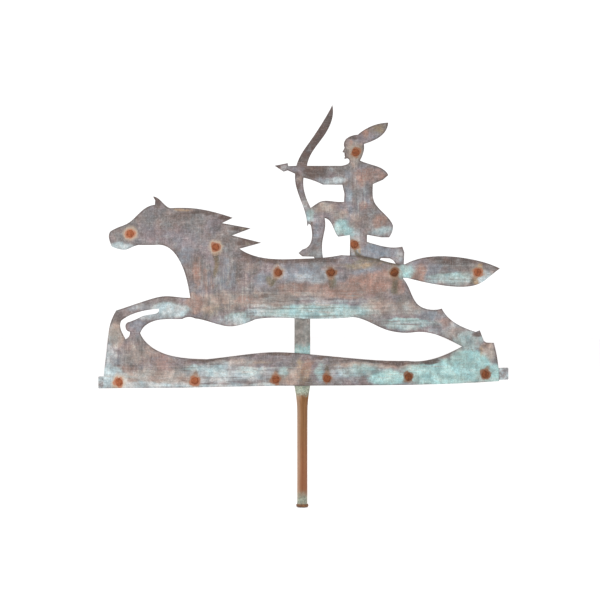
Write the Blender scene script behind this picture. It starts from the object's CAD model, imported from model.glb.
"""Looks of the sheet-copper weather vane: hand-cut sheets, hammered rivets and weathered copper.

Everything is in metres, in the frame of the CAD model. Lengths are written as a number times mm.
"""

import math
import random

import bmesh
import bpy
import numpy as np
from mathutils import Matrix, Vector, noise
from mathutils.geometry import delaunay_2d_cdt


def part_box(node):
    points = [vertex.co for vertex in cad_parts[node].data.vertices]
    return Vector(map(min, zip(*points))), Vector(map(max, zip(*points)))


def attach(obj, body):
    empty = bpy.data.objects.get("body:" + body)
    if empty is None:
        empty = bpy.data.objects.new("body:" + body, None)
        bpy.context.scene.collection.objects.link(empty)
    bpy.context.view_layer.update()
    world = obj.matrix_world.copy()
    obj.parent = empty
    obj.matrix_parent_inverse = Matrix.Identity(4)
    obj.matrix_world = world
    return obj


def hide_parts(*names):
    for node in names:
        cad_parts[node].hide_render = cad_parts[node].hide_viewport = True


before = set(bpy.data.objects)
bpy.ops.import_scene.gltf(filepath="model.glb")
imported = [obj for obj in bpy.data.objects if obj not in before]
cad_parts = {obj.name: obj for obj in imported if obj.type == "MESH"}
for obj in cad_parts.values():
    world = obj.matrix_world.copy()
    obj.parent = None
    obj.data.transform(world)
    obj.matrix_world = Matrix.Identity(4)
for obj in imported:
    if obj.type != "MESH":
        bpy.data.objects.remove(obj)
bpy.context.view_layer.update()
noise.seed_set(1)  # noise_vector would otherwise take its seed from the clock

mm = 0.001

# Meshes
seam = 0.001 * mm  # points closer than this are one point
grid = 2.5 * mm  # side of a triangle in a sheet
rim_gap = 0.6 * grid  # from the outline to the first inner point

# Sheet metal
edge_radius = 0.35 * mm
edge_turns = (0, 30, 60, 90)
snip_depth = 0.15 * mm
swell = 1.0 * mm
hammer_mark = 0.12 * mm
hold_start = 5 * mm  # a rivet holds the sheet flat up to here
hold_end = 34 * mm  # and lets it swell fully from here
small_hole = 4 * mm  # radius; the edge of a hole as small as this doesn't darken

# Rivets
head_height = 2.6 * mm
tail_height = 2.0 * mm
head_share = 0.97  # of the CAD rivet's radius, so that the uneven rim stays within its box
tail_share = 0.82
dome_share = 0.98  # of the height, which leaves room for the pole
shank_radius = 2.45 * mm
segments = 36
bands = 9
blow_count = 5
unevenness = 0.22  # of the rim, as a share of the radius

# Weathering
patch_softness = 0.6
wide_patch = 0.02  # half width from which a patch also shows on the back
stain_width = 5 * mm


# -------- reading the CAD nodes


def merged(node):
    """A CAD node's mesh as a bmesh of its own, with the seams between its faces joined."""
    bm = bmesh.new()
    bm.from_mesh(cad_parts[node].data)
    bmesh.ops.remove_doubles(bm, verts=bm.verts, dist=seam)
    return bm


def outline_loops(node):
    """Closed loops of (x, z) points round the front face of a flat sheet, its holes included."""
    bm = merged(node)
    front = min(vert.co.y for vert in bm.verts) + 0.01 * mm
    left = {}
    for edge in bm.edges:
        flat = [face for face in edge.link_faces if all(vert.co.y < front for vert in face.verts)]
        if len(flat) == 1:
            left[edge] = True
    loops = []
    while left:
        edge = next(iter(left))
        del left[edge]
        start, vert = edge.verts
        loop = [start]
        while vert is not start:
            loop.append(vert)
            edge = next(edge for edge in vert.link_edges if edge in left)
            del left[edge]
            vert = edge.other_vert(vert)
        loops.append([(vert.co.x, vert.co.z) for vert in loop])
    bm.free()
    return loops


def rivet_places(node):
    """Each rivet of a CAD node, from left to right: its axis (x, z), radius, front and back."""
    bm = merged(node)
    left = set(bm.verts)
    places = []
    for first in bm.verts:
        if first not in left:
            continue
        left.discard(first)
        island = [first]
        for vert in island:
            for edge in vert.link_edges:
                other = edge.other_vert(vert)
                if other in left:
                    left.discard(other)
                    island.append(other)
        low = [min(vert.co[axis] for vert in island) for axis in range(3)]
        high = [max(vert.co[axis] for vert in island) for axis in range(3)]
        middle = ((low[0] + high[0]) / 2, (low[2] + high[2]) / 2)
        places.append((middle, (high[0] - low[0]) / 2, low[1], high[1]))
    bm.free()
    return sorted(places)


# -------- outlines in the (x, z) plane


def sides(loop):
    """Each side of a closed loop as its two ends."""
    return zip(loop, loop[1:] + loop[:1])


def area(loop):
    """Area of a loop, positive when it runs anticlockwise."""
    return sum(x0 * z1 - x1 * z0 for (x0, z0), (x1, z1) in sides(loop)) / 2


def split_long(loop, longest):
    """The loop with each long side divided evenly."""
    points = []
    for (x0, z0), (x1, z1) in sides(loop):
        parts = max(1, math.ceil(math.hypot(x1 - x0, z1 - z0) / longest))
        for part in range(parts):
            points.append((x0 + (x1 - x0) * part / parts, z0 + (z1 - z0) * part / parts))
    return points


def inside(points, loops):
    """Which rows of an (x, z) array lie inside the outline and outside its holes."""
    odd = np.zeros(len(points), bool)
    for loop in loops:
        for (x0, z0), (x1, z1) in sides(loop):
            if z0 == z1:
                continue
            crossing = x0 + (points[:, 1] - z0) * (x1 - x0) / (z1 - z0)
            spans = (z0 > points[:, 1]) != (z1 > points[:, 1])
            odd ^= spans & (points[:, 0] < crossing)
    return odd


def distance_to(points, loops):
    """Distance of each row of an (x, z) array from the nearest side of the loops."""
    nearest = np.full(len(points), np.inf)
    for loop in loops:
        for start, end in sides(loop):
            run = np.subtract(end, start)
            offset = points - start
            share = np.clip(offset @ run / (run @ run), 0, 1)
            gap = offset - share[:, None] * run
            nearest = np.minimum(nearest, np.hypot(gap[:, 0], gap[:, 1]))
    return nearest


def inward(loop):
    """Step into the metal at each point of a loop that has the metal on its left.

    The step moves both sides of the corner in by 1. It is kept short at a very sharp corner.
    """
    directions = []
    for before, here, after in zip(loop[-1:] + loop[:-1], loop, loop[1:] + loop[:1]):
        first = Vector((before[1] - here[1], here[0] - before[0])).normalized()
        second = Vector((here[1] - after[1], after[0] - here[0])).normalized()
        middle = first + second
        if middle.length < 0.2:
            middle = first
        middle.normalize()
        directions.append(middle / max(middle.dot(first), 0.45))
    return directions


# -------- hand-cut sheets


def smooth(value, start, end):
    """0 below start, 1 above end and a smooth rise between."""
    share = np.clip((value - start) / (end - start), 0, 1)
    return share * share * (3 - 2 * share)


def ripple(x, z, scale, layer):
    """Smooth noise of about -1 to 1 over the sheet; each layer has waves of its own."""
    return noise.noise(Vector((x * scale, layer, z * scale)))


def swelling(x, z):
    """0 to 1: how far hand hammering has pushed the sheet out at a place."""
    broad = ripple(x, z, 11, 3.1)
    narrow = ripple(x, z, 32, 7.7)
    return min(1.0, max(0.0, 0.5 + 0.75 * broad + 0.3 * narrow))


def dents(x, z):
    """0 to 1: small round hammer marks."""
    return 0.5 + 0.5 * ripple(x, z, 120, 1.3)


def snip(x, z):
    """How far the snips have bitten into the edge at a place."""
    return snip_depth * (0.5 + 0.5 * ripple(x, z, 170, 0.4))


def sheet_offset(points, rivets, curls, box):
    """How far the sheet stands forward of its straps at each point: nothing at the rivets."""
    hold = np.ones(len(points))
    for place in rivets:
        gap = np.hypot(points[:, 0] - place[0], points[:, 1] - place[1])
        hold = np.minimum(hold, smooth(gap, hold_start, hold_end))
    offset = np.array([swell * swelling(x, z) + hammer_mark * dents(x, z) for x, z in points]) * hold
    for share_x, share_z, reach, amount in curls:
        x = box[0].x + share_x * (box[1].x - box[0].x)
        z = box[0].z + share_z * (box[1].z - box[0].z)
        gap = np.hypot(points[:, 0] - x, points[:, 1] - z)
        offset += amount * np.exp(-((gap / reach) ** 2))
    return offset


def sheet_loops(node):
    """The outline of a flat sheet and its holes, finely divided, with the metal on their left."""
    loops = [split_long(loop, grid) for loop in outline_loops(node)]
    outer = max(loops, key=lambda loop: abs(area(loop)))
    for loop in loops:
        if (area(loop) > 0) != (loop is outer):
            loop.reverse()
    return loops


def inner_points(low, high, loops):
    """Points inside the outline, in rows of equilateral triangles."""
    row_height = grid * math.sqrt(3) / 2
    points = []
    for row in range(math.ceil((high.z - low.z) / row_height)):
        for column in range(math.ceil((high.x - low.x) / grid)):
            shift = 0.5 * (row % 2)
            points.append((low.x + (column + shift) * grid, low.z + row * row_height))
    points = np.array(points)
    points = points[inside(points, loops)]
    return points[distance_to(points, loops) > rim_gap]


def edge_profile(thickness):
    """Pairs of inset and depth, from the front face over the filed corners to the back face."""
    front = []
    for turn in edge_turns:
        angle = math.radians(turn)
        front.append((edge_radius * (1 - math.sin(angle)), edge_radius * (1 - math.cos(angle))))
    back = [(inset, thickness - depth) for inset, depth in front]
    return front + back[::-1]


def rim_rows(loops, profile):
    """For each step of the profile, the (x, z, depth) points right round every loop."""
    rows = [[] for step in profile]
    for loop in loops:
        for (x, z), direction in zip(loop, inward(loop)):
            bite = snip(x, z)
            for row, (inset, depth) in zip(rows, profile):
                row.append((x + direction.x * (inset + bite), z + direction.y * (inset + bite), depth))
    return rows


def hand_cut_sheet(node, name, rivets, curls):
    """A dense copy of a flat CAD sheet with filed edges, hammered swells and bent tips.

    Returns the object and, for each vertex, its (x, z) place and its share of the way to the back.
    """
    low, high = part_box(node)
    thickness = high.y - low.y
    loops = sheet_loops(node)
    rows = rim_rows(loops, edge_profile(thickness))
    front = [(x, z) for x, z, depth in rows[0]]
    front_loops = []
    loop_edges = []
    count = 0
    for loop in loops:
        front_loops.append(front[count : count + len(loop)])
        loop_edges += [(count + step, count + (step + 1) % len(loop)) for step in range(len(loop))]
        count += len(loop)

    # The front face, and the back face as its mirror image
    flat = [Vector((x / mm, z / mm)) for x, z in front]
    flat += [Vector(point / mm) for point in inner_points(low, high, loops)]
    spots, _, triangles, sources, _, _ = delaunay_2d_cdt(flat, loop_edges, [], 1, 1e-5)
    rim_index = {source: index for index, group in enumerate(sources) for source in group}
    layer = [(spot.x * mm, spot.y * mm) for spot in spots]
    size = len(layer)
    corners = [[layer[index] for index in triangle] for triangle in triangles]
    kept = inside(np.array([np.mean(corner, axis=0) for corner in corners]), front_loops)
    triangles = [triangle for triangle, keep in zip(triangles, kept) if keep]
    places = layer + layer
    back_share = [0.0] * size + [1.0] * size
    faces = [tuple(triangle) for triangle in triangles]
    faces += [tuple(size + index for index in reversed(triangle)) for triangle in triangles]

    # Bands of faces round each edge, from the front face to the back face
    rings = [[rim_index[index] for index in range(count)]]
    for row in rows[1:-1]:
        rings.append(list(range(len(places), len(places) + count)))
        places += [(x, z) for x, z, depth in row]
        back_share += [depth / thickness for x, z, depth in row]
    rings.append([size + index for index in rings[0]])
    for ring, following in zip(rings, rings[1:]):
        for start, end in loop_edges:
            faces.append((ring[end], ring[start], following[start], following[end]))

    points = np.array(places)
    back_share = np.array(back_share)
    depth = low.y + back_share * thickness - sheet_offset(points, rivets, curls, (low, high))
    mesh = bpy.data.meshes.new(name)
    mesh.from_pydata([(x, y, z) for (x, z), y in zip(places, depth)], [], faces)
    mesh.validate()
    mesh.shade_smooth()
    sheet = bpy.data.objects.new(name, mesh)
    bpy.context.collection.objects.link(sheet)
    large = [loop for loop in loops if abs(area(loop)) > math.pi * small_hole**2]
    store(mesh, "rim", distance_to(points, large) / mm)
    return sheet, points, back_share


def store(mesh, name, values):
    """Keeps one number per vertex for the material to read."""
    attribute = mesh.attributes.new(name, "FLOAT", "POINT")
    attribute.data.foreach_set("value", np.asarray(values, np.float32))


# -------- weathering, by place


def wander(points):
    """The points moved to and fro by a few millimetres, which makes the patches ragged."""
    moves = []
    for x, z in points:
        broad = noise.noise_vector(Vector((x * 40, 2.3, z * 40)))
        narrow = noise.noise_vector(Vector((x * 110, 6.1, z * 110)))
        moves.append((broad.x * 6 + narrow.x * 2, broad.z * 4 + narrow.z * 2))
    return points + np.array(moves) * mm


def patch_cover(points, box, patches):
    """How strongly each point lies in any of the patches.

    A patch is (middle across, middle up, half width, half height, strength); the first four are
    shares of the sheet's box.
    """
    across = (points[:, 0] - box[0].x) / (box[1].x - box[0].x)
    up = (points[:, 1] - box[0].z) / (box[1].z - box[0].z)
    cover = np.zeros(len(points))
    for middle, height, half_width, half_height, strength in patches:
        square = ((across - middle) / half_width) ** 2 + ((up - height) / half_height) ** 2
        cover = np.maximum(cover, strength * np.exp(-patch_softness * square**2))
    return cover


# Tints of the horse sheet's show side, each a list of patches
horse_patches = {
    "lavender": [
        (0.235, 0.84, 0.035, 0.03, 0.3),  # behind the cheek
        (0.255, 0.77, 0.02, 0.035, 0.3),
        (0.205, 0.69, 0.022, 0.06, 0.7),  # throat
        (0.305, 0.6, 0.012, 0.09, 0.8),  # streaks down the neck
        (0.33, 0.57, 0.008, 0.09, 0.6),
        (0.405, 0.55, 0.025, 0.045, 0.8),  # behind the shoulder
        (0.49, 0.6, 0.05, 0.045, 1.0),  # back
        (0.54, 0.6, 0.025, 0.045, 0.7),
        (0.67, 0.605, 0.045, 0.022, 1.1),  # rump
        (0.83, 0.62, 0.025, 0.04, 0.9),  # tail
        (0.87, 0.6, 0.025, 0.03, 0.6),
        (0.09, 0.32, 0.03, 0.03, 0.6),  # hoof
        (0.83, 0.375, 0.03, 0.025, 0.7),  # hock
        (0.6, 0.07, 0.035, 0.022, 0.7),  # turf
        (0.035, 0.16, 0.02, 0.05, 0.7),
    ],
    "tan": [
        (0.36, 0.46, 0.13, 0.045, 0.9),  # belly
        (0.28, 0.43, 0.05, 0.04, 0.8),
        (0.7, 0.42, 0.05, 0.05, 0.7),  # thigh
        (0.77, 0.42, 0.035, 0.04, 0.8),
        (0.38, 0.62, 0.015, 0.04, 0.5),  # withers
        (0.53, 0.49, 0.09, 0.03, 0.8),  # barrel
        (0.03, 0.28, 0.02, 0.06, 1.5),  # front of the turf
        (0.69, 0.122, 0.12, 0.012, 1.0),  # band along the turf
        (0.8, 0.112, 0.05, 0.012, 1.0),
        (0.13, 0.055, 0.09, 0.045, 1.2),  # turf in front
        (0.08, 0.18, 0.05, 0.06, 0.6),
        (0.33, 0.13, 0.08, 0.016, 0.7),
        (0.475, 0.06, 0.03, 0.045, 1.0),  # turf at the pipe
        (0.972, 0.19, 0.018, 0.05, 1.5),  # block behind the hoof
        (0.89, 0.29, 0.04, 0.03, 0.6),  # hind leg
    ],
    "salmon": [
        (0.228, 0.44, 0.018, 0.05, 1.3),  # chest
        (0.238, 0.6, 0.009, 0.08, 1.0),  # streaks down the breast
        (0.256, 0.57, 0.006, 0.07, 0.9),
        (0.278, 0.56, 0.005, 0.05, 0.6),
        (0.365, 0.46, 0.035, 0.022, 0.8),  # belly
        (0.53, 0.52, 0.09, 0.03, 0.85),  # barrel
        (0.61, 0.51, 0.045, 0.04, 1.2),
        (0.68, 0.55, 0.055, 0.055, 1.3),  # flank
        (0.712, 0.585, 0.02, 0.03, 1.3),
        (0.745, 0.53, 0.02, 0.045, 1.1),  # rump
        (0.795, 0.6, 0.017, 0.04, 1.2),  # root of the tail
        (0.515, 0.08, 0.012, 0.075, 1.1),  # turf at the pipe
        (0.14, 0.14, 0.05, 0.045, 0.6),  # turf in front
        (0.028, 0.28, 0.012, 0.05, 0.5),
        (0.06, 0.11, 0.035, 0.018, 0.7),
        (0.865, 0.35, 0.016, 0.022, 0.8),  # cannon
    ],
    "ochre": [
        (0.65, 0.643, 0.05, 0.016, 0.7),  # loin, under the archer's knee
        (0.028, 0.28, 0.012, 0.045, 0.4),  # front of the turf
        (0.2, 0.935, 0.025, 0.006, 0.9),  # crest
        (0.953, 0.2, 0.006, 0.035, 0.7),  # block behind the hoof
        (0.495, 0.125, 0.01, 0.025, 0.7),  # turf at the pipe
        (0.51, 0.07, 0.02, 0.05, 0.5),
        (0.405, 0.135, 0.025, 0.016, 0.4),
        (0.28, 0.41, 0.04, 0.03, 0.4),  # breast
        (0.952, 0.635, 0.008, 0.016, 1.1),  # run of the tail's rivet
        (0.935, 0.562, 0.006, 0.026, 1.2),
    ],
    "verdigris": [
        (0.168, 0.41, 0.038, 0.032, 0.9),  # top of the foreleg
        (0.53, 0.398, 0.13, 0.038, 1.0),  # belly
        (0.34, 0.37, 0.036, 0.024, 0.6),  # girth
        (0.765, 0.335, 0.06, 0.028, 0.65),  # stifle
        (0.765, 0.357, 0.05, 0.006, 1.0),
        (0.763, 0.605, 0.019, 0.032, 0.75),  # under the tail's root
        (0.88, 0.572, 0.06, 0.028, 0.7),  # under the tail
        (0.86, 0.075, 0.09, 0.06, 1.7),  # turf at the back
        (0.925, 0.12, 0.045, 0.07, 1.8),
        (0.98, 0.07, 0.025, 0.05, 1.3),
        (0.72, 0.055, 0.045, 0.04, 1.3),
        (0.645, 0.09, 0.05, 0.03, 0.7),
        (0.548, 0.09, 0.01, 0.05, 0.6),  # turf at the pipe
        (0.455, 0.085, 0.012, 0.03, 0.5),
        (0.37, 0.09, 0.035, 0.022, 0.7),  # turf
        (0.285, 0.088, 0.03, 0.028, 0.7),
        (0.235, 0.105, 0.025, 0.022, 0.6),
        (0.022, 0.06, 0.03, 0.05, 0.7),  # front corner
        (0.62, 0.385, 0.05, 0.008, 0.8),
        (0.92, 0.24, 0.035, 0.055, 0.6),  # hind pastern
        (0.045, 0.74, 0.025, 0.016, 0.5),  # chin
    ],
    "frost": [
        (0.045, 0.74, 0.03, 0.018, 0.9),  # chin
        (0.168, 0.41, 0.04, 0.032, 1.2),  # top of the foreleg
        (0.13, 0.375, 0.055, 0.022, 0.7),
        (0.11, 0.425, 0.05, 0.03, 0.35),  # forearm
        (0.335, 0.35, 0.042, 0.03, 0.7),  # girth
        (0.52, 0.575, 0.05, 0.03, 0.4),  # back
        (0.4, 0.41, 0.04, 0.03, 0.6),  # belly
        (0.53, 0.395, 0.14, 0.05, 0.4),
        (0.53, 0.366, 0.12, 0.012, 0.8),
        (0.5, 0.455, 0.13, 0.02, 0.4),
        (0.77, 0.335, 0.06, 0.03, 0.4),  # stifle
        (0.765, 0.405, 0.05, 0.03, 0.35),  # thigh
        (0.88, 0.31, 0.06, 0.045, 0.4),  # hind leg
        (0.92, 0.25, 0.035, 0.06, 0.35),
        (0.955, 0.58, 0.028, 0.034, 1.3),  # tip of the tail
        (0.89, 0.56, 0.07, 0.026, 0.5),
        (0.015, 0.05, 0.034, 0.055, 1.6),  # front corner
        (0.016, 0.16, 0.018, 0.09, 0.7),  # front edge
        (0.022, 0.27, 0.014, 0.06, 0.5),
        (0.1, 0.015, 0.12, 0.02, 1.0),  # bottom edge
        (0.32, 0.01, 0.15, 0.014, 0.9),
        (0.15, 0.055, 0.1, 0.045, 0.3),  # turf
        (0.29, 0.075, 0.08, 0.055, 0.75),
        (0.38, 0.08, 0.06, 0.045, 0.6),
        (0.6, 0.09, 0.04, 0.03, 0.5),
        (0.86, 0.07, 0.15, 0.06, 0.2),  # turf at the back
    ],
    "brown": [
        (0.86, 0.678, 0.05, 0.01, 0.8),  # top of the tail
        (0.93, 0.658, 0.05, 0.01, 0.8),
        (0.868, 0.665, 0.016, 0.018, 1.1),
        (0.42, 0.665, 0.06, 0.014, 1.1),  # ridge of the back
        (0.53, 0.668, 0.07, 0.012, 1.0),
        (0.7, 0.665, 0.045, 0.008, 0.8),
        (0.25, 0.918, 0.05, 0.012, 1.0),  # crest
        (0.19, 0.895, 0.04, 0.02, 0.6),
        (0.31, 0.89, 0.02, 0.015, 1.1),  # mane
        (0.345, 0.832, 0.025, 0.014, 1.1),
        (0.365, 0.762, 0.032, 0.014, 1.1),
        (0.37, 0.69, 0.022, 0.02, 1.0),  # withers
        (0.137, 0.965, 0.014, 0.035, 0.9),  # ear
        (0.285, 0.85, 0.02, 0.03, 0.5),
        (0.22, 0.85, 0.05, 0.06, 0.3),
        (0.345, 0.62, 0.008, 0.07, 0.6),
        (0.09, 0.445, 0.05, 0.008, 0.6),  # forearm
        (0.038, 0.375, 0.016, 0.035, 0.6),  # knee
        (0.66, 0.53, 0.06, 0.05, 0.25),  # flank
        (0.415, 0.478, 0.014, 0.012, 0.8),  # spots on the belly
        (0.39, 0.475, 0.01, 0.008, 0.6),
        (0.27, 0.148, 0.06, 0.01, 1.0),  # turf's upper edge
        (0.35, 0.168, 0.05, 0.01, 0.8),
        (0.45, 0.178, 0.045, 0.012, 1.3),
        (0.57, 0.163, 0.04, 0.008, 1.2),
        (0.7, 0.143, 0.11, 0.007, 1.2),
        (0.825, 0.135, 0.022, 0.014, 1.3),
        (0.76, 0.128, 0.05, 0.008, 1.0),
        (0.965, 0.222, 0.012, 0.012, 0.8),  # block behind the hoof
        (0.942, 0.285, 0.012, 0.012, 1.1),  # heel
        (0.515, 0.03, 0.018, 0.022, 0.9),  # turf at the pipe
    ],
    "olive": [
        (0.66, 0.668, 0.03, 0.008, 0.9),  # loin, where water has run
        (0.425, 0.56, 0.012, 0.025, 1.0),  # under the withers' rivet
        (0.735, 0.52, 0.008, 0.035, 1.0),  # under the last seat rivet
        (0.578, 0.55, 0.007, 0.025, 0.8),
        (0.286, 0.64, 0.006, 0.06, 0.9),  # neck
        (0.388, 0.763, 0.007, 0.01, 0.9),  # tips of the mane
        (0.366, 0.752, 0.006, 0.008, 0.8),
        (0.355, 0.828, 0.006, 0.006, 0.8),
    ],
    "upright": [
        (0.3, 0.56, 0.1, 0.18, 1.0),  # neck and shoulder
        (0.08, 0.18, 0.06, 0.1, 0.8),
        (0.7, 0.54, 0.06, 0.07, 0.6),  # flank
    ],
    "level": [
        (0.52, 0.45, 0.2, 0.1, 1.0),  # barrel
        (0.88, 0.62, 0.1, 0.08, 0.7),  # tail
        (0.5, 0.06, 0.6, 0.1, 0.8),  # turf
        (0.77, 0.34, 0.06, 0.04, 0.9),  # stifle
    ],
}

# Tints of the archer sheet's show side
archer_patches = {
    "lavender": [
        (0.575, 0.49, 0.032, 0.055, 1.0),  # waist
        (0.58, 0.42, 0.022, 0.05, 0.8),
        (0.565, 0.6, 0.04, 0.03, 0.7),  # chest
        (0.8, 0.17, 0.14, 0.035, 1.4),  # rear calf
        (0.32, 0.3, 0.03, 0.09, 0.7),  # shin
        (0.71, 0.49, 0.04, 0.05, 0.6),
    ],
    "tan": [
        (0.78, 0.86, 0.06, 0.035, 0.6),  # feather
        (0.62, 0.71, 0.036, 0.055, 0.9),  # neck
        (0.6, 0.78, 0.05, 0.025, 0.6),  # head
        (0.37, 0.42, 0.07, 0.028, 1.0),  # thigh
        (0.5, 0.385, 0.08, 0.03, 0.7),
        (0.62, 0.35, 0.035, 0.05, 0.6),  # skirt
        (0.19, 0.58, 0.022, 0.025, 0.8),  # bow
    ],
    "salmon": [
        (0.72, 0.61, 0.09, 0.04, 0.9),  # shoulder
        (0.69, 0.575, 0.035, 0.035, 1.0),
        (0.82, 0.6, 0.04, 0.022, 0.9),
        (0.585, 0.795, 0.014, 0.016, 0.9),  # hair
        (0.7, 0.835, 0.022, 0.024, 1.0),  # feather
        (0.79, 0.865, 0.016, 0.014, 0.8),
        (0.67, 0.43, 0.03, 0.026, 0.9),  # skirt
        (0.8, 0.345, 0.05, 0.04, 0.9),
    ],
    "ochre": [
        (0.645, 0.175, 0.012, 0.02, 0.8),  # seat, where water has run
        (0.66, 0.76, 0.02, 0.03, 0.5),  # neck
    ],
    "verdigris": [
        (0.52, 0.31, 0.06, 0.045, 1.0),  # front of the skirt
        (0.58, 0.275, 0.035, 0.035, 0.9),
        (0.275, 0.375, 0.028, 0.035, 0.7),  # knee
        (0.84, 0.29, 0.055, 0.028, 0.5),  # back of the skirt
    ],
    "frost": [
        (0.44, 0.57, 0.1, 0.018, 0.75),  # under the arm
        (0.64, 0.475, 0.09, 0.04, 0.3),  # waist
        (0.27, 0.355, 0.035, 0.04, 0.5),  # knee
        (0.23, 0.43, 0.03, 0.06, 0.5),  # bow
        (0.09, 0.645, 0.04, 0.022, 0.5),  # arrow
        (0.84, 0.285, 0.08, 0.034, 0.6),  # back of the skirt
        (0.62, 0.255, 0.05, 0.05, 0.6),  # seat
        (0.61, 0.165, 0.04, 0.04, 0.5),
        (0.96, 0.15, 0.045, 0.05, 0.45),  # rear foot
        (0.33, 0.16, 0.07, 0.03, 0.5),  # front foot
        (0.52, 0.3, 0.06, 0.05, 0.4),  # front of the skirt
    ],
    "brown": [
        (0.31, 0.625, 0.09, 0.035, 1.5),  # forearm
        (0.35, 0.86, 0.14, 0.13, 1.5),  # bow
        (0.22, 0.71, 0.09, 0.07, 1.1),
        (0.165, 0.61, 0.02, 0.02, 1.1),
        (0.18, 0.545, 0.03, 0.03, 0.8),
        (0.8, 0.86, 0.07, 0.04, 0.5),  # feather
        (0.04, 0.658, 0.03, 0.009, 1.0),  # arrow's point
        (0.6, 0.818, 0.05, 0.01, 0.9),  # hair
        (0.87, 0.895, 0.016, 0.012, 1.1),  # feather's tip
        (0.76, 0.655, 0.06, 0.012, 0.8),  # shoulder
        (0.72, 0.62, 0.08, 0.02, 0.4),
        (0.85, 0.59, 0.025, 0.016, 0.9),
        (0.7, 0.37, 0.025, 0.06, 0.5),  # skirt
        (0.285, 0.325, 0.01, 0.01, 1.2),
        (0.31, 0.195, 0.03, 0.02, 0.6),  # ankle
    ],
    "olive": [
        (0.8, 0.87, 0.06, 0.025, 0.8),  # feather
        (0.74, 0.85, 0.03, 0.015, 0.6),
        (0.59, 0.76, 0.04, 0.03, 0.4),  # head
        (0.24, 0.47, 0.02, 0.04, 0.5),  # bow
    ],
    "upright": [(0.66, 0.5, 0.12, 0.2, 0.7)],
    "level": [
        (0.37, 0.62, 0.12, 0.05, 0.6),  # forearm
        (0.72, 0.6, 0.1, 0.06, 0.7),  # shoulder
        (0.32, 0.28, 0.04, 0.08, 0.6),  # shin
    ],
}


class Weather:
    """Looks of one rivet: how bright its rust and its halo are, and the stain that runs from it."""

    def __init__(self, rust, halo, stain=0.0, lean=0.0):
        self.rust = rust
        self.halo = halo
        self.stain = stain * mm
        self.lean = lean


# Where rust water has run from the archer's knee: points in shares of each sheet's box
trickles = {
    "horse_sheet": [(0.645, 0.686), (0.686, 0.672), (0.723, 0.652), (0.745, 0.645)],
    "archer_sheet": [(0.61, 0.20), (0.62, 0.179), (0.632, 0.159), (0.659, 0.143), (0.69, 0.134)],
}

# For each rivet from left to right. A stain's length is negative when it climbs, and its lean is
# its sideways run for each unit of height
rivet_weather = {
    "base_rivets": [
        Weather(1.0, 0.9, 18, 0.8),
        Weather(0.8, 0.3, -17, 0.1),
        Weather(0.4, 0.2, -16),
        Weather(0.3, 0.1, -22),
        Weather(0.1, 0.1, 9, 0.7),
        Weather(0.15, 0.1, -16, 0.3),
    ],
    "head_rivets": [Weather(1.0, 0.9), Weather(0.65, 0.9, 26)],
    "body_rivets": [
        Weather(0.35, 0.5, 22, 0.5),
        Weather(0.1, 0.2, 28),
        Weather(0.0, 0.3, 34, -0.1),
        Weather(0.7, 0.4, 20, 0.6),
    ],
    "archer_rivets": [Weather(0.4, 0.3), Weather(0.4, 0.3)],
}


def rivet_marks(points, marks):
    """Distance to the nearest rivet, its rust and halo, and the stains, for each point."""
    nearest = np.full(len(points), np.inf)
    rust_here = np.zeros(len(points))
    halo = np.zeros(len(points))
    stain = np.zeros(len(points))
    for place, weather in marks:
        x = points[:, 0] - place[0]
        down = place[1] - points[:, 1]
        gap = np.hypot(x, down)
        rust_here = np.where(gap < nearest, weather.rust, rust_here)
        halo = np.where(gap < nearest, weather.halo, halo)
        nearest = np.minimum(nearest, gap)
        if weather.stain:
            fall = down / weather.stain
            width = stain_width * (1.1 - 0.5 * np.clip(fall, 0, 1))
            beside = (x + weather.lean * down) / width
            run = smooth(fall, 0.0, 0.15) * (1 - smooth(fall, 0.55, 1.25))
            stain = np.maximum(stain, run * np.exp(-(beside**2)))
    return nearest / mm, rust_here, halo, stain


def weather_sheet(sheet, points, back_share, node, patches, marks):
    """Stores where the sheet has weathered. The back has the broad patches the other way round."""
    low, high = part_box(node)
    behind = back_share > 0.5
    seen = points.copy()
    seen[behind, 0] = low.x + high.x - seen[behind, 0]
    moved = wander(seen)
    for tint, tinted in patches.items():
        cover = patch_cover(moved, (low, high), tinted)
        wide = [patch for patch in tinted if patch[2] > wide_patch]
        broad = patch_cover(moved, (low, high), wide)
        store(sheet.data, tint, np.where(behind, broad, cover))
    nearest, rust_here, halo, stain = rivet_marks(points, marks)
    store(sheet.data, "rivet", nearest)
    store(sheet.data, "rust", rust_here)
    store(sheet.data, "halo", np.where(behind, 0.2, halo))
    store(sheet.data, "stain", stain * np.where(behind, 0.6, 1.0))
    path = []
    for across, up in trickles[node]:
        path.append((low.x + across * (high.x - low.x), low.z + up * (high.z - low.z)))
    there_and_back = path + path[-2:0:-1]
    store(sheet.data, "trickle", distance_to(points, [there_and_back]) / mm + 9 * behind)


# -------- rivets


def on_dome(turn, slope):
    """The point of a dome of radius 1 at a turn round its axis and a slope away from its pole."""
    across = math.sin(slope)
    return Vector((math.cos(turn) * across, math.sin(turn) * across, math.cos(slope)))


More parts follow.
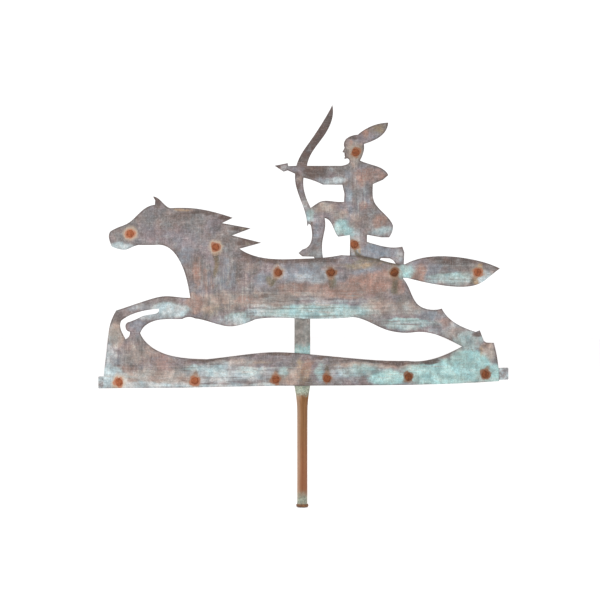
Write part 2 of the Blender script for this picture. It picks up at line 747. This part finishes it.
def hammered_rivet(bm, place, radius, front, back, seed):
    """Adds one closed rivet: a domed head with hammer flats, its shank and its spread tail.

    A blow is the direction it came from and how far from the dome's middle its flat lies.
    """
    draw = random.Random(seed)
    phase = draw.uniform(0, 100)
    blows = []
    for _ in range(blow_count):
        turn = draw.uniform(0, math.tau)
        tilt = draw.uniform(0.1, 0.42)
        reach = draw.uniform(0.78, 0.93)
        blows.append((on_dome(turn, tilt), reach))
    turns = [step / segments * math.tau for step in range(segments)]

    def dome(size, height, level, outward):
        """Rings from the pole to the seat; each point is pressed flat where a blow fell."""
        rings = []
        for band in range(1, bands + 1):
            slope = band / bands * math.pi / 2
            ring = []
            for turn in turns:
                right, up = math.cos(turn), math.sin(turn)
                edge = noise.noise(Vector((right * 1.3 + phase, up * 1.3, outward)))
                point = on_dome(turn, slope)
                pressed = min([1.0] + [reach / max(point.dot(blow), 1e-6) for blow, reach in blows])
                pressed *= 1 + 0.02 * noise.noise(point * 4 + Vector((phase, 0, 0)))
                across = size * (1 + unevenness * edge) * pressed
                depth = level + outward * point.z * height * pressed
                ring.append((point.x * across, depth, point.y * across))
            rings.append(ring)
        return rings

    def neck(level):
        """A ring round the shank."""
        return [(shank_radius * math.cos(turn), level, shank_radius * math.sin(turn)) for turn in turns]

    seat = front + head_height
    back_seat = back - tail_height
    head = dome(radius * head_share, head_height * dome_share, seat, -1)
    tail = dome(radius * tail_share, tail_height * dome_share, back_seat, 1)
    rings = head + [neck(seat), neck(back_seat)] + tail[::-1]
    made = [[bm.verts.new((place[0] + x, y, place[1] + z)) for x, y, z in ring] for ring in rings]
    for ring, following in zip(made, made[1:]):
        for step in range(segments):
            after = (step + 1) % segments
            bm.faces.new((ring[after], ring[step], following[step], following[after]))
    for ring, level, order in ((made[0], front, 1), (made[-1], back, -1)):
        height = sum(vert.co.y for vert in ring) / segments
        pole = bm.verts.new((place[0], height + (level - height) * 0.2, place[1]))
        for step in range(segments):
            pair = (ring[step], ring[(step + 1) % segments])[::order]
            bm.faces.new((pole, *pair))


def hammered_rivets(node, name):
    """Hammered copies of every rivet in a CAD node."""
    bm = bmesh.new()
    rust_values = []
    for number, (place, radius, front, back) in enumerate(rivet_places(node)):
        hammered_rivet(bm, place, radius, front, back, f"{name} {number}")
        new_points = len(bm.verts) - len(rust_values)
        rust_values += [rivet_weather[node][number].rust] * new_points
    bmesh.ops.recalc_face_normals(bm, faces=bm.faces)
    mesh = bpy.data.meshes.new(name)
    bm.to_mesh(mesh)
    bm.free()
    store(mesh, "rust", rust_values)
    mesh.shade_smooth()
    rivets = bpy.data.objects.new(name, mesh)
    bpy.context.collection.objects.link(rivets)
    return rivets


# -------- writing materials

studio_light = 1.5

# Overlays that leave a colour as it is at 0.5
cool_spot = (0.46, 0.51, 0.53, 1)
warm_spot = (0.55, 0.488, 0.467, 1)
dark_spot = (0.36, 0.36, 0.36, 1)
light_spot = (0.64, 0.64, 0.64, 1)


def tone(red, green, blue):
    """The reflectance that shows as these screen values, of 0 to 255, in the studio's light."""
    linear = [((value / 255 + 0.055) / 1.055) ** 2.4 for value in (red, green, blue)]
    return (*(value / studio_light for value in linear), 1.0)


class Value:
    """An output of a node that can stand in sums."""

    def __init__(self, shader, socket):
        self.shader = shader
        self.socket = socket

    def __add__(self, other):
        return self.shader.math("ADD", self, other)

    def __sub__(self, other):
        return self.shader.math("SUBTRACT", self, other)

    def __rsub__(self, other):
        return self.shader.math("SUBTRACT", other, self)

    def __mul__(self, other):
        return self.shader.math("MULTIPLY", self, other)

    def rise(self, start, end):
        """0 below start, 1 above end and a smooth rise between; start may be the larger."""
        inputs = {"Value": self, "From Min": start, "From Max": end}
        settings = {"interpolation_type": "SMOOTHSTEP"}
        return self.shader.value("ShaderNodeMapRange", "Result", inputs, **settings)


class Shader:
    """Writes one material: values first, then colours laid over one another, then the surface."""

    def __init__(self, name):
        self.material = bpy.data.materials.new(name)
        self.material.use_nodes = True
        self.tree = self.material.node_tree
        self.tree.nodes.clear()
        self.place = self.value("ShaderNodeTexCoord", "Object")
        self.colour = (1, 1, 1, 1)

    def node(self, kind, inputs=None, **settings):
        made = self.tree.nodes.new(kind)
        for key, value in settings.items():
            setattr(made, key, value)
        for key, value in (inputs or {}).items():
            if isinstance(value, Value):
                self.tree.links.new(value.socket, made.inputs[key])
            else:
                made.inputs[key].default_value = value
        return made

    def value(self, kind, output, inputs=None, **settings):
        """Adds a node and returns one of its outputs."""
        return Value(self, self.node(kind, inputs, **settings).outputs[output])

    def math(self, operation, first, second):
        return self.value("ShaderNodeMath", 0, {0: first, 1: second}, operation=operation)

    def mix(self, share, first, second, blend="MIX"):
        """The first colour with its share of the second laid over it."""
        inputs = {0: share, 6: first, 7: second}
        return self.value("ShaderNodeMix", 2, inputs, data_type="RGBA", blend_type=blend)

    def noise(self, scale, detail, roughness=0.55, distortion=0.0, at=None):
        """Cloudy noise round 0.5, finer where the scale is larger."""
        inputs = {
            "Vector": at or self.place,
            "Scale": scale,
            "Detail": detail,
            "Roughness": roughness,
            "Distortion": distortion,
        }
        return self.value("ShaderNodeTexNoise", "Fac", inputs)

    def stretched(self, across, deep, up, *settings):
        """Noise drawn out into streaks: its scale in each direction, then its other settings."""
        inputs = {0: self.place, 1: (across, deep, up)}
        at = self.value("ShaderNodeVectorMath", 0, inputs, operation="MULTIPLY")
        return self.noise(1, *settings, at=at)

    def attribute(self, name):
        """A number stored for each vertex."""
        return self.value("ShaderNodeAttribute", "Fac", attribute_name=name)

    def along(self, axis):
        """The place along an axis of the object, in millimetres."""
        return self.value("ShaderNodeSeparateXYZ", axis, {0: self.place}) * (1 / mm)

    def lay(self, colour, share, blend="MIX"):
        """Lays a colour over what is there, as strongly as the share says."""
        self.colour = self.mix(share, self.colour, colour, blend)

    def weather(self, scale, hue, light):
        """Lays warm and cool spots, and then light and dark ones, over the colour."""
        warmth = self.noise(scale, 3, 0.6).rise(0.36, 0.64)
        self.lay(self.mix(warmth, cool_spot, warm_spot), hue, "OVERLAY")
        lightness = self.noise(scale * 1.3, 4, 0.65, 0.3).rise(0.34, 0.66)
        self.lay(self.mix(lightness, dark_spot, light_spot), light, "OVERLAY")

    def finish(self, roughness, relief, depth, metallic=0.0, sheen=0.4):
        """Ends the material with a surface whose relief is as deep as depth."""
        bump = {"Height": relief, "Distance": depth, "Strength": 1.0}
        inputs = {
            "Base Color": self.colour,
            "Roughness": roughness,
            "Metallic": metallic,
            "Specular IOR Level": sheen,
            "Normal": self.value("ShaderNodeBump", 0, bump),
        }
        surface = self.node("ShaderNodeBsdfPrincipled", inputs)
        output = self.node("ShaderNodeOutputMaterial")
        self.tree.links.new(surface.outputs[0], output.inputs["Surface"])
        return self.material


# Colours of weathered copper
mauve = tone(132, 123, 127)
grey_brown = tone(121, 113, 110)
ash = tone(148, 148, 150)
dark_brown = tone(82, 71, 66)
edge_brown = tone(80, 65, 60)
stain_olive = tone(98, 85, 67)
trickle_olive = tone(88, 80, 58)
stain_rust = tone(134, 92, 60)
pale_dust = tone(184, 180, 178)
cream = tone(204, 182, 158)
dull_rust = tone(120, 76, 46)
bright_rust = tone(178, 114, 82)
dark_rust = tone(92, 52, 30)
tints = {
    "lavender": (tone(149, 156, 165), tone(118, 122, 131)),
    "tan": (tone(182, 167, 155), tone(154, 139, 129)),
    "salmon": (tone(168, 135, 122), tone(136, 109, 98)),
    "verdigris": (tone(176, 218, 215), tone(150, 191, 189)),
    "frost": (tone(204, 218, 220), tone(172, 184, 187)),
    "brown": (tone(98, 81, 74), tone(70, 55, 50)),
    "ochre": (tone(176, 154, 120), tone(144, 124, 96)),
    "olive": (tone(130, 120, 96), tone(106, 95, 73)),
}


def sheet_copper():
    """Old sheet copper: mauve and grey oxide, verdigris, pink copper, streaks, stains and halos."""
    look = Shader("weathered_sheet_copper")
    cloud = look.noise(24, 4)
    mottle = look.noise(105, 5, 0.62)
    grain = look.noise(430, 3, 0.7)
    pepper = look.noise(900, 2, 0.6)
    upright_lines = look.stretched(260, 300, 22, 4, 0.6, 0.6)
    level_lines = look.stretched(16, 300, 300, 4, 0.6, 0.6)
    level_bands = look.stretched(24, 110, 110, 5, 0.62)
    upright = look.attribute("upright")
    level = look.attribute("level")

    look.colour = look.mix(cloud.rise(0.40, 0.60), mauve, grey_brown)
    look.lay(ash, mottle.rise(0.50, 0.70) * 0.6)
    streaks = (upright_lines - 0.5) * upright * 1.5 + (level_lines - 0.5) * level * 1.6
    clouds = (mottle - 0.5) * (1 - level * 0.75) * 0.8 + (level_bands - 0.5) * level * 0.8
    for tint, (light, dark) in tints.items():
        ragged = look.attribute(tint) + clouds + (grain - 0.5) * 0.3 + streaks
        cover = ragged.rise(0.05, 1.10)
        shade = look.mix((grain * 0.6 + mottle * 0.4).rise(0.38, 0.62), dark, light)
        look.lay(shade, cover * 0.95)

    # Streaks left by rain and by the brush
    look.lay(pale_dust, upright_lines.rise(0.54, 0.68) * upright * 0.30)
    look.lay(dark_brown, upright_lines.rise(0.48, 0.36) * upright * 0.34)
    look.lay(pale_dust, level_lines.rise(0.54, 0.68) * level * 0.35)
    look.lay(dark_brown, level_lines.rise(0.46, 0.36) * level * 0.30)

    # Fine crossed scratches
    upright_scratches = look.stretched(620, 620, 60, 3, 0.6)
    level_scratches = look.stretched(60, 620, 620, 3, 0.6)
    for scratches in (upright_scratches, level_scratches):
        look.lay(pale_dust, scratches.rise(0.55, 0.68) * 0.22)
        look.lay(dark_brown, scratches.rise(0.44, 0.34) * 0.22)

    # Rust water that has run from the rivets
    gap = look.attribute("rivet") + (mottle - 0.5) * 13
    stain = look.attribute("stain") + (mottle - 0.5) * 1.2 + (grain - 0.5) * 0.9
    stain = stain.rise(0.05, 0.8)
    look.lay(look.mix(gap.rise(15, 8), stain_olive, stain_rust), stain * 0.8)
    trickle = look.attribute("trickle") + (mottle - 0.5) * 4 + (grain - 0.5) * 2
    trickle = trickle.rise(3.4, 0.8)
    look.lay(trickle_olive, trickle * 0.85)

    # The oxides differ in hue and depth from spot to spot
    look.weather(40, 0.65, 0.75)
    look.weather(130, 0.45, 0.55)
    look.weather(420, 0.1, 0.4)

    # Crackle of fine dark and pale spots
    look.lay(dark_brown, grain.rise(0.52, 0.66) * 0.4)
    look.lay(pale_dust, grain.rise(0.45, 0.33) * 0.25)
    look.lay(dark_brown, pepper.rise(0.58, 0.70) * 0.25)

    # Dark oxide along the cut edges
    rim = look.attribute("rim")
    crust = look.attribute("verdigris")
    edge = (rim + (mottle - 0.5) * 5 + (grain - 0.5) * 3).rise(2.8, 0.2)
    edge = edge * (0.65 - crust * 0.3 - look.attribute("frost") * 0.5).rise(0.0, 1.0)
    look.lay(edge_brown, edge)

    # Pale halos and rust round the rivets
    halo = look.attribute("halo")
    look.lay(cream, gap.rise(14.0, 8.5) * halo * 0.55)
    look.lay(look.mix(halo, stain_olive, cream), gap.rise(10.0, 7.3) * 0.55)
    rust = look.mix(look.attribute("rust"), dull_rust, bright_rust)
    look.lay(rust, gap.rise(9.0, 6.2) * 0.9)

    relief = grain * 0.5 + mottle * 0.8 + crust * 0.2
    roughness = grain * 0.3 + 0.5
    return look.finish(roughness, relief, depth=0.35 * mm)


def rivet_iron():
    """Rusted iron rivets: brown to orange rust with darker pits."""
    look = Shader("rusted_rivet_iron")
    mottle = look.noise(260, 4, 0.65)
    grain = look.noise(900, 3, 0.7)
    dull = look.mix(mottle.rise(0.40, 0.60), tone(118, 68, 36), dark_rust)
    bright = look.mix(mottle.rise(0.42, 0.62), tone(172, 100, 66), tone(138, 76, 48))
    look.colour = look.mix(look.attribute("rust"), dull, bright)
    look.lay(bright_rust, grain.rise(0.52, 0.68) * 0.4)
    look.lay(dark_rust, grain.rise(0.46, 0.34) * 0.5)
    return look.finish(grain * 0.3 + 0.6, mottle + grain * 0.5, depth=0.4 * mm, sheen=0.15)


def strap_copper():
    """Straps: browner than the sheets, with verdigris in cloudy patches and grey-green ends."""
    look = Shader("weathered_strap_copper")
    cloud = look.noise(30, 4)
    mottle = look.noise(130, 5, 0.62)
    grain = look.noise(480, 3, 0.7)
    lines = look.stretched(24, 260, 420, 3, 0.6)
    look.colour = look.mix(cloud.rise(0.4, 0.6), tone(124, 98, 86), tone(104, 92, 86))
    light, dark = tints["verdigris"]
    green = (cloud * 0.5 + mottle * 0.5).rise(0.46, 0.66)
    look.lay(look.mix(grain.rise(0.4, 0.6), dark, light), green * 0.75)
    look.lay(pale_dust, lines.rise(0.55, 0.7) * 0.4)
    low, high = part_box("base_strap")
    tip = -low.x / mm
    side = look.math("ABSOLUTE", look.along("X"), 0)
    tabs = (side + (mottle - 0.5) * 30).rise(tip - 20, tip - 4)
    pale, deep = tints["frost"]
    tab_grey = look.mix(mottle.rise(0.42, 0.62), ash, look.mix(0.5, deep, pale))
    look.lay(tab_grey, tabs * 0.85)
    look.weather(60, 0.5, 0.6)
    look.weather(240, 0.3, 0.6)
    look.lay(dark_brown, grain.rise(0.53, 0.66) * 0.6)
    return look.finish(grain * 0.3 + 0.5, grain * 0.5 + mottle, depth=0.3 * mm)


def pipe_copper():
    """The pipe: warm brown copper, a pale collar where it widens, verdigris at the foot."""
    look = Shader("weathered_pipe_copper")
    height = look.along("Z")
    side = look.math("ABSOLUTE", look.along("X"), 0)
    mottle = look.noise(120, 5, 0.62)
    grain = look.noise(480, 3, 0.7)
    lines = look.stretched(420, 420, 10, 4, 0.6)
    ragged = height + (mottle - 0.5) * 18
    warm = look.mix(lines.rise(0.38, 0.62), tone(146, 102, 62), tone(126, 84, 48))
    warm = look.mix(height.rise(130, 40) * 0.4, warm, tone(158, 92, 66))
    lit_side = (look.along("X") + (lines - 0.5) * 6).rise(-1.5, -6.5)
    warm = look.mix(lit_side * 0.65, warm, tone(180, 152, 128))
    grey = look.mix(mottle.rise(0.40, 0.60), tone(118, 114, 108), tone(143, 142, 138))
    green = look.mix(grain.rise(0.42, 0.60), tone(132, 142, 124), tone(178, 188, 170))
    look.colour = look.mix(ragged.rise(164, 174), warm, green)
    look.lay(grey, ragged.rise(180, 196))
    light, dark = tints["verdigris"]
    band = ragged.rise(216, 230) * ragged.rise(248, 236)
    look.lay(look.mix(grain.rise(0.42, 0.60), dark, light), band * 0.6)
    foot = ragged.rise(30, 10)
    look.lay(green, foot * 0.85)
    worn = ragged.rise(160, 172) + foot
    look.weather(60, worn * 0.4 + 0.1, worn * 0.5 + 0.1)
    look.weather(240, worn * 0.3, worn * 0.5 + 0.1)
    fold = (side + (mottle - 0.5) * 2).rise(10.6, 12.4)
    look.lay(edge_brown, fold * 0.8)
    look.lay(dark_brown, grain.rise(0.54, 0.68) * (worn * 0.4 + 0.1))
    look.lay(tone(112, 98, 82), height.rise(4.5, 2.5) * 0.6)
    metal = ragged.rise(172, 160) * ragged.rise(12, 26) * 0.5
    return look.finish(grain * 0.2 + 0.3, mottle + lines * 0.5, depth=0.12 * mm, metallic=metal)


def bush_bronze():
    """Cast bronze: brown with brighter worn spots."""
    look = Shader("dark_bush_bronze")
    mottle = look.noise(300, 4, 0.6)
    grain = look.noise(1200, 3, 0.7)
    look.colour = look.mix(mottle.rise(0.42, 0.60), tone(108, 74, 52), tone(146, 106, 74))
    look.lay(dark_brown, grain.rise(0.54, 0.66) * 0.5)
    return look.finish(grain * 0.3 + 0.35, grain, depth=0.1 * mm, metallic=0.5)


def spindle_steel():
    """Turned steel: grey with fine rings from the lathe and a little rust."""
    look = Shader("turned_spindle_steel")
    rings = look.stretched(60, 60, 2600, 2)
    spots = look.noise(260, 5, 0.65)
    look.colour = look.mix(rings.rise(0.4, 0.6), tone(150, 150, 150), tone(178, 178, 176))
    look.lay(dull_rust, spots.rise(0.56, 0.68) * 0.8)
    return look.finish(spots * 0.4 + 0.2, rings, depth=0.02 * mm, metallic=0.85)


# -------- the object


def put_on(piece, material, node):
    """Dresses a new piece, ties it to the vane and hides the CAD node it stands for."""
    piece.data.materials.append(material)
    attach(piece, "vane")
    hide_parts(node)


def put_on_sheet(node, name, patches, curls, own_marks, other_marks=()):
    """Rebuilds and weathers a sheet, which its own rivets and any others hold flat."""
    holds = [place for place, weather in (*own_marks, *other_marks)]
    sheet, points, back_share = hand_cut_sheet(node, name, holds, curls)
    weather_sheet(sheet, points, back_share, node, patches, own_marks)
    put_on(sheet, copper, node)


def dress(node, material):
    """Gives a CAD node its material, and softens its sharp corners."""
    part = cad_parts[node]
    for slot in part.material_slots:
        slot.material = material
    weld = part.modifiers.new("joined seams", "WELD")
    weld.merge_threshold = seam
    bevel = part.modifiers.new("soft corners", "BEVEL")
    bevel.width = 0.3 * mm
    bevel.segments = 2
    bevel.limit_method = "ANGLE"
    bevel.angle_limit = math.radians(40)
    bevel.harden_normals = True


copper = sheet_copper()
iron = rivet_iron()
straps = strap_copper()

marks = {}
for node, weathers in rivet_weather.items():
    places = [place for place, radius, front, back in rivet_places(node)]
    marks[node] = list(zip(places, weathers))

# Tips that are bent: (share across, share up, reach, amount forward)
horse_curls = [
    (0.37, 0.87, 14 * mm, 1.6 * mm),
    (0.37, 0.78, 16 * mm, -1.4 * mm),
    (0.40, 0.73, 16 * mm, 1.8 * mm),
    (0.13, 0.99, 10 * mm, 1.0 * mm),
    (1.00, 0.62, 22 * mm, 2.2 * mm),
    (0.00, 0.80, 30 * mm, 1.2 * mm),
]
archer_curls = [
    (0.45, 1.00, 50 * mm, 2.4 * mm),
    (0.88, 0.90, 28 * mm, -2.2 * mm),
    (0.00, 0.66, 16 * mm, 1.2 * mm),
    (0.25, 0.32, 10 * mm, 0.8 * mm),
]

horse_marks = marks["base_rivets"] + marks["head_rivets"] + marks["body_rivets"]
put_on_sheet("horse_sheet", "horse_silhouette", horse_patches, horse_curls, horse_marks)

# The archer's seat lies flat against the back of the horse, so it is held there like at a rivet
archer_marks = marks["archer_rivets"]
seat_marks = marks["body_rivets"][1:3]
put_on_sheet("archer_sheet", "archer_silhouette", archer_patches, archer_curls, archer_marks, seat_marks)

for node in rivet_weather:
    put_on(hammered_rivets(node, node + "_hammered"), iron, node)

for node in ("base_strap", "body_strap", "neck_strap", "head_strap", "archer_strap"):
    dress(node, straps)
dress("support_pipe", pipe_copper())
bronze = bush_bronze()
steel = spindle_steel()
for node in ("lower_bush", "top_bush"):
    dress(node, bronze)
for node in ("spindle_rod", "thrust_ball"):
    dress(node, steel)


# -------- studio


middle = Vector((0, 0, 0.3))


def white_surroundings(scene, strength):
    """Even white light from all round."""
    world = bpy.data.worlds.new("white studio")
    world.use_nodes = True
    world.node_tree.nodes["Background"].inputs["Color"].default_value = (1, 1, 1, 1)
    world.node_tree.nodes["Background"].inputs["Strength"].default_value = strength
    scene.world = world


def pale_floor(radius):
    """A wide disc of pale paper under the object."""
    bpy.ops.mesh.primitive_circle_add(vertices=96, radius=radius, fill_type="NGON")
    floor = bpy.context.object
    floor.name = "studio_floor"
    paper = Shader("pale_paper")
    fibre = paper.noise(90, 4)
    paper.colour = paper.mix(fibre.rise(0.35, 0.65), (0.90, 0.88, 0.88, 1), (0.93, 0.91, 0.91, 1))
    floor.data.materials.append(paper.finish(0.9, fibre, depth=0.05 * mm, sheen=0.1))


def soft_light(scene, name, place, size, power):
    """A square light that looks at the middle of the object."""
    light = bpy.data.lights.new(name, "AREA")
    light.size = size
    light.energy = power
    lamp = bpy.data.objects.new(name, light)
    lamp.location = place
    aim = middle - Vector(place)
    lamp.rotation_euler = aim.to_track_quat("-Z", "Y").to_euler()
    scene.collection.objects.link(lamp)


def front_camera(scene, place, lens, sensor_width):
    """A camera that looks level and straight at the front of the object."""
    camera_data = bpy.data.cameras.new("camera")
    camera_data.lens = lens
    camera_data.sensor_width = sensor_width
    camera = bpy.data.objects.new("camera", camera_data)
    camera.location = place
    camera.rotation_euler = (math.radians(90), 0, 0)
    scene.collection.objects.link(camera)
    scene.camera = camera


scene = bpy.context.scene
scene.view_settings.view_transform = "Standard"
white_surroundings(scene, strength=1.12)
pale_floor(radius=14)
soft_light(scene, "key light", (-1.6, -2.4, 2.2), size=1.6, power=60)
soft_light(scene, "top light", (0.3, 0.6, 3.0), size=2.5, power=60)
front_camera(scene, (-3.5 * mm, -3.0, 310.7 * mm), lens=120, sensor_width=36)
